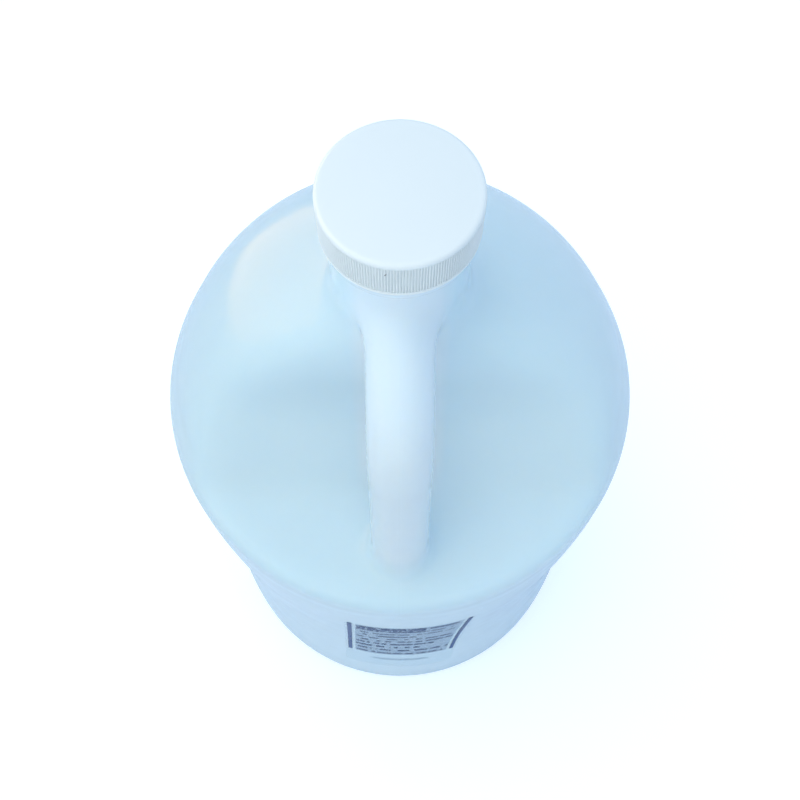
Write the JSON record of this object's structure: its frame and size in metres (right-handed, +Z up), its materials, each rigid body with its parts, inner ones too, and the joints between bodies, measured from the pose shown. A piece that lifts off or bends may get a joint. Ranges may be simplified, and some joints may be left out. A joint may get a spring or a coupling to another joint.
{
  "type": "handled jug",
  "caption": "Round translucent plastic jug with a hollow moulded handle over a finger recess, a ribbed white screw cap with liner and a clear printed label.",
  "frame": {"origin": "centre of the base ring, on the surface that the jug stands on", "axes": "+Z up along the jug's axis, the handle and the label towards -Y, +X to the right when the handle faces the viewer"},
  "size_m": [0.153, 0.153, 0.3],
  "materials": {
    "jug_plastic": "natural translucent, faintly blue, satin",
    "cap_plastic": "white, satin",
    "liner_foam": "white foam, matt",
    "label_film": "clear film printed in dark blue"
  },
  "bodies": {
    "jug": {"jug_body": "jug_plastic", "label": "label_film"},
    "liner": {"cap_liner": "liner_foam"},
    "cap": {"cap": "cap_plastic"}
  },
  "joints": [
    {"name": "cap_lift", "type": "slide", "parent": "jug", "child": "liner", "axis": [0, 0, 1], "range_m": [0, 0.0128]},
    {"name": "cap_turn", "type": "hinge", "parent": "liner", "child": "cap", "pos_m": [0, 0, 0.29], "axis": [0, 0, 1], "range_deg": [0, 1080]}
  ],
  "couplings": [
    {"joint": "cap_lift", "follows": "cap_turn", "m_per_rad": 0.0006737}
  ]
}
